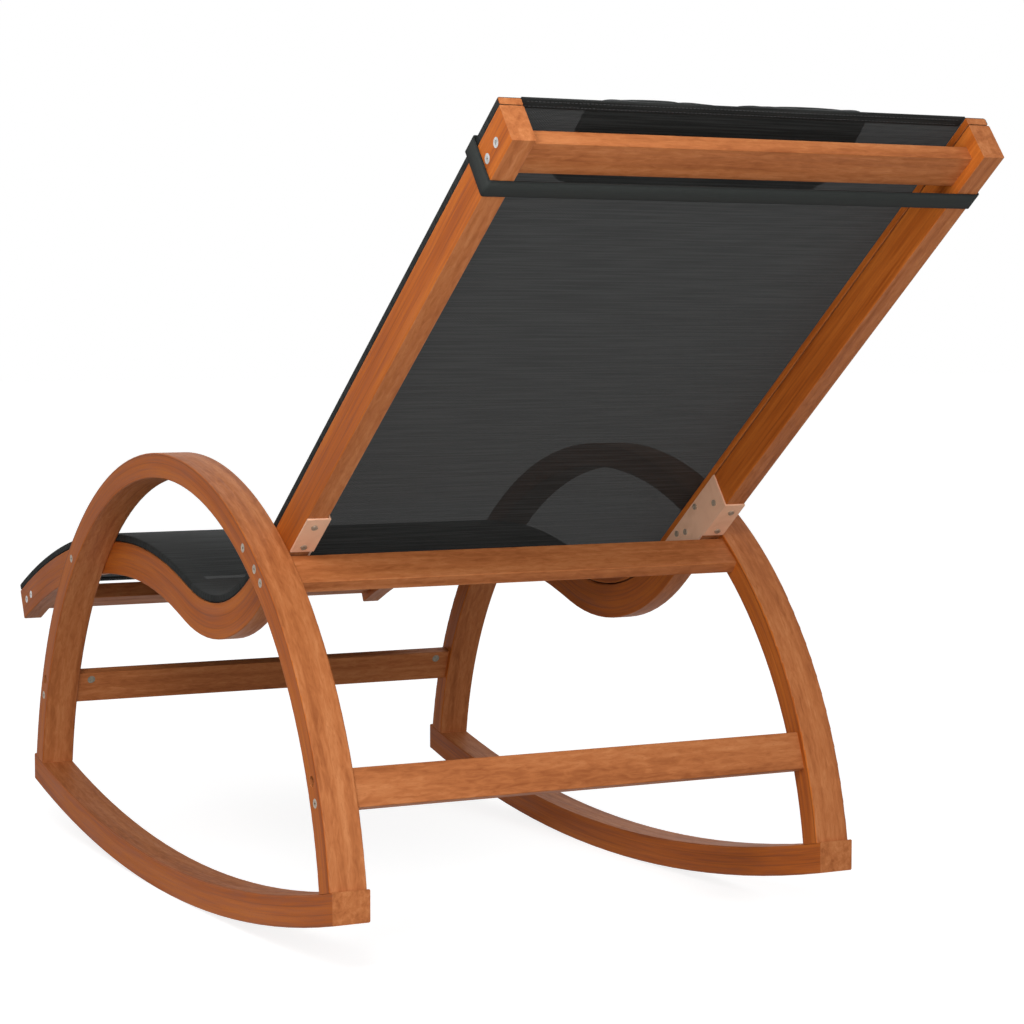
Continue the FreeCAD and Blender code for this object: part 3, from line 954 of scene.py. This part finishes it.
@dataclass
class Sling:
    """One mesh sheet over both clamp strips, wrapped round their outer sides and back under them."""

    half_width: float = 0.2592
    return_edge: float = 0.2380
    sheet_lift: float = 0.0292
    return_lift: float = 0.0206
    corner_radius: float = 0.0022
    hem_half_width: float = 0.2354
    hem_depth: float = 0.012
    hem_rise: float = 0.0008
    stitch_rows: tuple[float, float] = (0.003, 0.009)
    stitch_pitch: float = 0.004
    stitch_size: tuple[float, float, float] = (0.0028, 0.0007, 0.0005)
    stitch_edge: float = 0.0002
    rows: int = 260
    columns: int = 44

    def half_section(self) -> list[tuple[float, float]]:
        """Draws half the section of the wrapped sheet.

        Returns:
            Corner points from the middle of the seat to the edge under the strip.
        """
        radius = self.corner_radius
        centre_x = self.half_width - radius
        points = [(0.0, self.sheet_lift), (centre_x, self.sheet_lift)]
        corners = ((range(1, 5), self.sheet_lift - radius), (range(4, 9), self.return_lift + radius))
        for steps, lift in corners:
            for step in steps:
                angle = math.radians(90 - step * 22.5)
                points.append((centre_x + radius * math.cos(angle), lift + radius * math.sin(angle)))
        return points + [(self.return_edge, self.return_lift)]

    def across(self, distance: float) -> tuple[float, float]:
        """Place in the section of a point of the flat cloth.

        Args:
            distance: Metres from the middle of the cloth, to the left or the right.

        Returns:
            x and the lift above the rail's centre line.
        """
        side = 1.0 if distance >= 0 else -1.0
        left = abs(distance)
        here, *others = self.half_section()
        for there in others:
            step = math.dist(here, there)
            if left <= step:
                share = left / step
                return (
                    side * (here[0] + share * (there[0] - here[0])),
                    here[1] + share * (there[1] - here[1]))
            left -= step
            here = there
        return side * here[0], here[1]

    @property
    def half_cut(self) -> float:
        """Half the width that the cloth is cut to."""
        points = self.half_section()
        return sum(math.dist(a, b) for a, b in zip(points, points[1:]))

    def columns_at(self) -> list[float]:
        """Places the grid's lines across the flat cloth: even in the middle, and at every bend.

        Returns:
            Metres from the middle of the cloth.
        """
        points = self.half_section()
        stops = [0.0]
        for a, b in zip(points, points[1:]):
            stops.append(stops[-1] + math.dist(a, b))
        inner = [stops[1] * i / self.columns for i in range(self.columns)]
        positive = inner + stops[1:]
        return [-value for value in reversed(positive[1:])] + positive

    def hem_profile(self) -> list[tuple[float, float]]:
        """Draws the section of a hem that is folded round the sheet's end.

        Returns:
            Points as metres past the end and above the sheet.
        """
        rise, depth = self.hem_rise, self.hem_depth
        top = [(-depth - 0.0005, 0.2 * rise), (-depth, rise), (0.0004, rise), (0.0010, 0.5 * rise)]
        return top + [(past, -lift) for past, lift in reversed(top)]

    def build_hem(
        self, path: SeatPath, name: str, at_top: bool, weave: bpy.types.Material
    ) -> bpy.types.Object:
        """Makes the doubled hem at one end of the sheet.

        Args:
            path: The rail's centre line.
            name: Name of the piece.
            at_top: Whether it is the end at the top of the back.
            weave: The mesh weave.

        Returns:
            The hem.
        """
        end, way = (path.length, 1.0) if at_top else (0.0, -1.0)
        profile = self.hem_profile()
        bm = bmesh.new()
        bmesh.ops.create_grid(bm, x_segments=self.columns, y_segments=len(profile) - 1, size=0.5)
        for vert in bm.verts:
            past, rise = profile[round((vert.co.y + 0.5) * (len(profile) - 1))]
            vert.co = (2 * vert.co.x * self.hem_half_width, end + way * past, rise)
        write_uv(bm, "cloth", lambda loop: loop.vert.co.xy)
        for vert in bm.verts:
            vert.co = path.point(vert.co.y, vert.co.x, self.sheet_lift + vert.co.z)
        bmesh.ops.recalc_face_normals(bm, faces=bm.faces)
        hem = new_piece(name, bm, weave)
        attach(hem, "chair")
        return hem

    def build_stitching(self, path: SeatPath, thread: bpy.types.Material) -> bpy.types.Object:
        """Sews two rows of stitches through both hems, seen on both faces.

        Args:
            path: The rail's centre line.
            thread: The sewing thread.

        Returns:
            All the stitches as one piece.
        """
        one = bmesh.new()
        bmesh.ops.create_cube(one, size=1.0)
        bmesh.ops.scale(one, verts=one.verts, vec=self.stitch_size)
        bmesh.ops.bevel(
            one, geom=one.edges[:], offset=self.stitch_edge,
            affect="EDGES", segments=1, profile=0.5, material=-1)
        stitch = bpy.data.meshes.new("stitch")
        one.to_mesh(stitch)
        one.free()
        count = int(2 * (self.hem_half_width - self.stitch_pitch) / self.stitch_pitch)
        bm = bmesh.new()
        for row in self.stitch_rows:
            for along in (row, path.length - row):
                for lift in (self.hem_rise, -self.hem_rise):
                    for number in range(count):
                        x = (number - (count - 1) / 2) * self.stitch_pitch
                        known = len(bm.verts)
                        bm.from_mesh(stitch)
                        bm.verts.ensure_lookup_table()
                        place = path.frame_at(along, x, self.sheet_lift + lift)
                        bmesh.ops.transform(bm, matrix=place, verts=bm.verts[known:])
        bpy.data.meshes.remove(stitch)
        rows = new_piece("hem_stitching", bm, thread)
        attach(rows, "chair")
        return rows

    def build(self, path: SeatPath, weave: bpy.types.Material, thread: bpy.types.Material) -> None:
        """Cuts the flat cloth as a grid, wraps it round the strips and hems its ends.

        Args:
            path: The rail's centre line.
            weave: The mesh weave.
            thread: The sewing thread.
        """
        lines = self.columns_at()
        bm = bmesh.new()
        bmesh.ops.create_grid(bm, x_segments=len(lines) - 1, y_segments=self.rows, size=0.5)
        cut = {}
        for vert in bm.verts:
            column = round((vert.co.x + 0.5) * (len(lines) - 1))
            cut[vert] = (lines[column], (vert.co.y + 0.5) * path.length)
        write_uv(bm, "cloth", lambda loop: cut[loop.vert])
        for vert, (u, along) in cut.items():
            x, lift = self.across(u)
            vert.co = path.point(along, x, lift)
        bmesh.ops.recalc_face_normals(bm, faces=bm.faces)
        sheet = new_piece("sling_sheet", bm, weave)
        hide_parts("sling_fabric")
        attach(sheet, "chair")
        sewn_on = [
            self.build_hem(path, "sling_hem_top", True, weave),
            self.build_hem(path, "sling_hem_front", False, weave),
            self.build_stitching(path, thread),
        ]
        flat = (2 * self.half_cut, path.length)


CLOTH_SETTINGS = {
    "quality": 8,
    "mass": 0.06,
    "air_damping": 4.0,
    "tension_stiffness": 28.0,
    "compression_stiffness": 14.0,
    "shear_stiffness": 7.0,
    "bending_stiffness": 0.12,
    "use_pressure": True,
    "uniform_pressure_force": 4.0,
}


@dataclass
class HeadPillow:
    """A stuffed pillow with a corded seam, on an elastic strap round the whole back."""

    cut_half_width: float = 0.1500
    cut_half_length: float = 0.0560
    cut_bulge: float = 0.0035
    corner: float = 0.020
    start_crown: float = 0.0115
    swell_limit: float = 0.0070
    room_half_width: float = 0.1495
    room_half_length: float = 0.0540
    from_end: float = 0.075
    seam_lift: float = 0.0495
    back_lift: float = 0.0321
    front_lift: float = 0.0675
    back_flatness: float = 1.8
    panel_gap: float = 0.0006
    cells: tuple[int, int] = (90, 36)
    frames: int = 20
    piping_radius: float = 0.0017
    strap_from_end: float = 0.062
    strap_width: float = 0.020
    strap_thickness: float = 0.0014
    strap_corner: float = 0.0018
    strap_room: tuple[float, float, float] = (0.2603, 0.0301, -0.0203)

    def outline(self, x: float, y: float) -> Vector:
        """Moves a point of a square of side 2 to the crowned panel with rounded corners.

        Args:
            x: Place across the square.
            y: Place along the square.

        Returns:
            The place on the panel.
        """
        flat = Vector((x * self.cut_half_width, y * self.cut_half_length, 0.0))
        inner_x = self.cut_half_width - self.corner
        inner_y = self.cut_half_length - self.corner
        inner = Vector((max(-inner_x, min(inner_x, flat.x)), max(-inner_y, min(inner_y, flat.y)), 0.0))
        out = flat - inner
        if out.length > 0:
            out = out.normalized() * max(abs(out.x), abs(out.y))
        crown = self.start_crown * max(0.0, (1 - x**6) * (1 - y**4)) ** 0.6
        bulge = self.cut_bulge * y * (1 - x**2)
        return inner + out + Vector((0.0, bulge, crown))

    def panels(self) -> tuple[bmesh.types.BMesh, list[int]]:
        """Sews two panels together round their edge.

        Returns:
            The mesh in the pillow's own frame, and the front panel's edge points in order.
        """
        bm = bmesh.new()
        bmesh.ops.create_grid(bm, x_segments=self.cells[0], y_segments=self.cells[1], size=1.0)
        for vert in bm.verts:
            vert.co = self.outline(vert.co.x, vert.co.y)
        write_uv(bm, "cloth", lambda loop: loop.vert.co.xy)
        rim = self.walk_rim(bm)
        copy = bmesh.ops.duplicate(bm, geom=bm.verts[:] + bm.edges[:] + bm.faces[:])
        back = [item for item in copy["geom"] if isinstance(item, bmesh.types.BMVert)]
        bmesh.ops.scale(bm, verts=back, vec=(1.0, 1.0, -1.0))
        bmesh.ops.translate(bm, verts=back, vec=(0.0, 0.0, -self.panel_gap))
        bmesh.ops.bridge_loops(bm, edges=[edge for edge in bm.edges if edge.is_boundary])
        bmesh.ops.recalc_face_normals(bm, faces=bm.faces)
        return bm, rim

    def walk_rim(self, bm: bmesh.types.BMesh) -> list[int]:
        """Walks round a panel's edge.

        Args:
            bm: The panel.

        Returns:
            Indices of the edge's points, in order.
        """
        first = next(edge for edge in bm.edges if edge.is_boundary)
        order = [first.verts[0], first.verts[1]]
        edge = first
        while order[-1] is not order[0]:
            edge = next(other for other in order[-1].link_edges if other.is_boundary and other is not edge)
            order.append(edge.other_vert(order[-1]))
        return [vert.index for vert in order[:-1]]

    def inflate(self, piece: bpy.types.Object) -> None:
        """Blows the sewn panels up by a cloth simulation, so that the seam draws in and wrinkles.

        Args:
            piece: The sewn panels.
        """
        cloth = piece.modifiers.new("cloth", "CLOTH")
        for name, value in CLOTH_SETTINGS.items():
            setattr(cloth.settings, name, value)
        cloth.settings.effector_weights.gravity = 0.0
        cloth.collision_settings.use_self_collision = False
        cloth.collision_settings.use_collision = False
        cloth.point_cache.frame_start = 1
        cloth.point_cache.frame_end = self.frames
        start = [vert.co.copy() for vert in piece.data.vertices]
        scene = bpy.context.scene
        for number in range(1, self.frames + 1):
            scene.frame_set(number)
        apply_modifiers(piece)
        scene.frame_set(1)
        for vert, before in zip(piece.data.vertices, start):
            moved = vert.co - before
            if moved.length > 0:
                reach = self.swell_limit * math.tanh(moved.length / self.swell_limit)
                vert.co = before + moved.normalized() * reach

    def settle(self, piece: bpy.types.Object) -> None:
        """Fits the pillow to its room and flattens the side that rests on the back.

        Args:
            piece: The pillow in its own frame.
        """
        low, high = (
            [pick(vert.co[axis] for vert in piece.data.vertices) for axis in range(3)] for pick in (min, max))
        room_low = (-self.room_half_width, -self.room_half_length, self.back_lift - self.seam_lift)
        room_high = (self.room_half_width, self.room_half_length, self.front_lift - self.seam_lift)
        log.info("pillow blown up to %s", [round(b - a, 4) for a, b in zip(low, high)])
        for vert in piece.data.vertices:
            for axis in range(3):
                share = (vert.co[axis] - low[axis]) / (high[axis] - low[axis])
                vert.co[axis] = room_low[axis] + share * (room_high[axis] - room_low[axis])
            if vert.co.z < 0:
                depth = math.tanh(self.back_flatness * vert.co.z / room_low[2])
                vert.co.z = room_low[2] * depth / math.tanh(self.back_flatness)

    def build_pillow(self, path: SeatPath, cover: bpy.types.Material, cord: bpy.types.Material) -> None:
        """Makes the stuffed pillow on the back and the cord in its seam.

        Args:
            path: The rail's centre line.
            cover: The weave of the cover.
            cord: The finish of the seam's cord.
        """
        bm, rim = self.panels()
        piece = new_piece("pillow_cover", bm, cover)
        self.inflate(piece)
        self.settle(piece)
        seam = [piece.data.vertices[index].co.copy() for index in rim]
        smooth = piece.modifiers.new("smooth", "SUBSURF")
        smooth.levels = 1
        smooth.render_levels = 1
        apply_modifiers(piece)
        place = path.back_place(self.from_end, self.seam_lift)
        piece.data.transform(place)
        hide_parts("head_pillow")
        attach(piece, "pillow")
        self.build_piping(seam, place, cord)

    def build_piping(self, seam: list[Vector], place: Matrix, cord: bpy.types.Material) -> None:
        """Makes the cord that is sewn into the seam.

        Args:
            seam: Points round the seam, in the pillow's own frame.
            place: The pillow's place on the back.
            cord: The finish of the cord.
        """
        for _ in range(3):
            seam = [(seam[i - 1] + 2 * seam[i] + seam[(i + 1) % len(seam)]) / 4 for i in range(len(seam))]
        line = bpy.data.curves.new("piping_line", "CURVE")
        line.dimensions = "3D"
        line.bevel_depth = self.piping_radius
        line.bevel_resolution = 2
        spline = line.splines.new("NURBS")
        spline.points.add(len(seam) - 1)
        for point, co in zip(spline.points, seam):
            point.co = (*co, 1.0)
        spline.order_u = 3
        spline.use_cyclic_u = True
        spline.resolution_u = 3
        source = bpy.data.objects.new("piping_line", line)
        mesh = bpy.data.meshes.new_from_object(source)
        bpy.data.objects.remove(source)
        bm = bmesh.new()
        bm.from_mesh(mesh)
        bpy.data.meshes.remove(mesh)
        bmesh.ops.remove_doubles(bm, verts=bm.verts, dist=0.00001)
        bmesh.ops.transform(bm, matrix=place, verts=bm.verts)
        bmesh.ops.recalc_face_normals(bm, faces=bm.faces)
        piping = new_piece("pillow_piping", bm, cord)
        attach(piping, "pillow")

    def build_strap(self, path: SeatPath, elastic: bpy.types.Material) -> None:
        """Makes the flat band as a rounded loop round rails, strips and sling.

        Args:
            path: The rail's centre line.
            elastic: The woven elastic.
        """
        wide, front, rear = self.strap_room
        half = self.strap_thickness / 2
        bm = bmesh.new()
        bmesh.ops.create_grid(bm, x_segments=1, y_segments=1, size=1.0)
        for vert in bm.verts:
            vert.co = (vert.co.x * (wide + half), 0.0, front + half if vert.co.y > 0 else rear - half)
        bmesh.ops.bevel(
            bm, geom=bm.verts[:], offset=self.strap_corner,
            affect="VERTICES", segments=6, profile=0.5, material=-1)
        loop = [edge for edge in bm.edges if edge.is_boundary]
        bmesh.ops.delete(bm, geom=bm.faces[:], context="FACES_ONLY")
        band = bmesh.ops.extrude_edge_only(bm, edges=loop)
        raised = [item for item in band["geom"] if isinstance(item, bmesh.types.BMVert)]
        bmesh.ops.translate(bm, verts=raised, vec=(0.0, self.strap_width, 0.0))
        long_edges = [edge for edge in bm.edges if edge.calc_length() > 0.1]
        bmesh.ops.subdivide_edges(bm, edges=long_edges, cuts=60, use_grid_fill=True)
        bmesh.ops.translate(bm, verts=bm.verts[:], vec=(0.0, -self.strap_width / 2, 0.0))
        bmesh.ops.recalc_face_normals(bm, faces=bm.faces[:])
        bm.normal_update()
        write_uv(bm, "band", self.band_place)
        strap = new_piece("elastic_strap", bm, elastic)
        wall = strap.modifiers.new("wall", "SOLIDIFY")
        wall.thickness = self.strap_thickness
        wall.offset = 0.0
        apply_modifiers(strap)
        strap.data.transform(path.back_place(self.strap_from_end, 0.0))
        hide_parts("pillow_strap")
        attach(strap, "pillow")

    def band_place(self, loop: bmesh.types.BMLoop) -> tuple[float, float]:
        """Places a corner of the strap on the flat band.

        Args:
            loop: The face corner.

        Returns:
            x or height along the band, and metres across it.
        """
        co = loop.vert.co
        upright = abs(loop.face.normal.x) > 0.7
        return (co.z if upright else co.x), co.y + self.strap_width / 2


# Studio


@dataclass
class Studio:
    """Pale floor, soft lamps and the camera at the photograph's viewing angle."""

    camera_place: tuple[float, float, float] = (1.3060, 2.7724, 0.6280)
    camera_yaw: float = 27.0947
    camera_pitch: float = 3.8469
    camera_lens: float = 94.21
    world_light: float = 0.40
    floor_glow: float = 0.83
    floor_colour: Colour = (0.45, 0.45, 0.45)
    floor_size: float = 30.0
    aim: tuple[float, float, float] = (0.0, 0.0, 0.4)
    lamps: tuple[tuple[str, tuple[float, float, float], float, float], ...] = (
        ("key", (1.1, 1.5, 1.5), 0.8, 19.0),
        ("rear", (-0.6, 4.2, 1.8), 2.5, 14.0),
        ("low", (0.8, 2.1, 0.5), 0.8, 13.0),
        ("front", (-1.5, -2.5, 3.0), 2.5, 12.0),
    )

    def build(self) -> None:
        """Adds the world, the floor, the lamps and the camera."""
        self.build_world()
        self.build_floor()
        for name, place, size, power in self.lamps:
            self.build_lamp(name, place, size, power)
        self.build_camera()
        bpy.context.scene.view_settings.view_transform = "Standard"

    def seen_directly(self, n: Nodes) -> Socket:
        """Tells rays from the camera, and those that gloss or clear matter sends on.

        Args:
            n: The nodes of the world or the floor.

        Returns:
            1 for those rays, and 0 for the others.
        """
        rays = n.add("ShaderNodeLightPath")
        total = rays.outputs["Is Camera Ray"]
        for name in ("Is Glossy Ray", "Is Transmission Ray"):
            total = n.maths("MAXIMUM", total, rays.outputs[name])
        return total

    def build_world(self) -> None:
        """A white world that lights the object at a plain level."""
        n = Nodes("studio", "worlds")
        background = n.add("ShaderNodeBackground")
        n.feed(background.inputs["Color"], (1.0, 1.0, 1.0))
        n.feed(background.inputs["Strength"], n.switch(self.seen_directly(n), self.world_light, 1.0))
        n.feed(n.add("ShaderNodeOutputWorld").inputs["Surface"], background.outputs[0])
        bpy.context.scene.world = n.owner

    def build_floor(self) -> None:
        """A wide pale floor that keeps a faint shadow."""
        bm = bmesh.new()
        bmesh.ops.create_grid(bm, x_segments=1, y_segments=1, size=self.floor_size)
        n = Nodes("floor_paint")
        diffuse = n.add("ShaderNodeBsdfDiffuse")
        n.feed(diffuse.inputs["Color"], self.floor_colour)
        glow = n.add("ShaderNodeEmission")
        n.feed(glow.inputs["Strength"], n.maths("MULTIPLY", self.seen_directly(n), self.floor_glow))
        both = n.add("ShaderNodeAddShader")
        n.feed(both.inputs[0], diffuse.outputs[0])
        n.feed(both.inputs[1], glow.outputs[0])
        floor = new_piece("studio_floor", bm, n.surface(both.outputs[0]), smooth=False)

    def build_lamp(self, name: str, place: tuple[float, float, float], size: float, power: float) -> None:
        """Adds one soft square lamp that looks at the seat.

        Args:
            name: Name of the lamp.
            place: Where it hangs.
            size: Side of its square, in metres.
            power: Watts.
        """
        data = bpy.data.lights.new(name, "AREA")
        data.size = size
        data.energy = power
        self.point_along(name, data, place, Vector(self.aim) - Vector(place))

    def build_camera(self) -> None:
        """Adds the camera behind the sitter's left shoulder."""
        data = bpy.data.cameras.new("photo_view")
        data.lens = self.camera_lens
        data.sensor_width = 36.0
        data.clip_end = 100.0
        yaw = math.radians(self.camera_yaw)
        pitch = math.radians(self.camera_pitch)
        aim = Vector((-math.sin(yaw) * math.cos(pitch), -math.cos(yaw) * math.cos(pitch), -math.sin(pitch)))
        bpy.context.scene.camera = self.point_along("photo_view", data, self.camera_place, aim)

    def point_along(
        self, name: str, data: bpy.types.ID, place: tuple[float, float, float], aim: Vector
    ) -> bpy.types.Object:
        """Adds a lamp or a camera that looks along a direction.

        Args:
            name: Name of the object.
            data: The lamp's or the camera's data.
            place: Where it stands.
            aim: The direction.

        Returns:
            The object.
        """
        item = bpy.data.objects.new(name, data)
        item.location = place
        item.rotation_euler = aim.to_track_quat("-Z", "Y").to_euler()
        bpy.context.scene.collection.objects.link(item)
        return item


def main() -> None:
    """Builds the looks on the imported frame."""
    logging.basicConfig(level=logging.INFO, format="%(message)s")
    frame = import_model()
    path = SeatPath()
    SideFrames().dress_all(frame, path)
    SeatFrame().dress_all(frame, path)
    Fixings().dress_all(frame)
    thread = Thread("sewing_thread").build()
    Sling().build(path, MeshWeave("sling_mesh").build(), thread)
    pillow = HeadPillow()
    cover = MeshWeave("pillow_weave", gap_clearness=0.0).build()
    pillow.build_pillow(path, cover, Thread("piping_cord").build())
    pillow.build_strap(path, ElasticBand("strap_elastic").build())
    Studio().build()


if __name__ == "__main__":
    main()
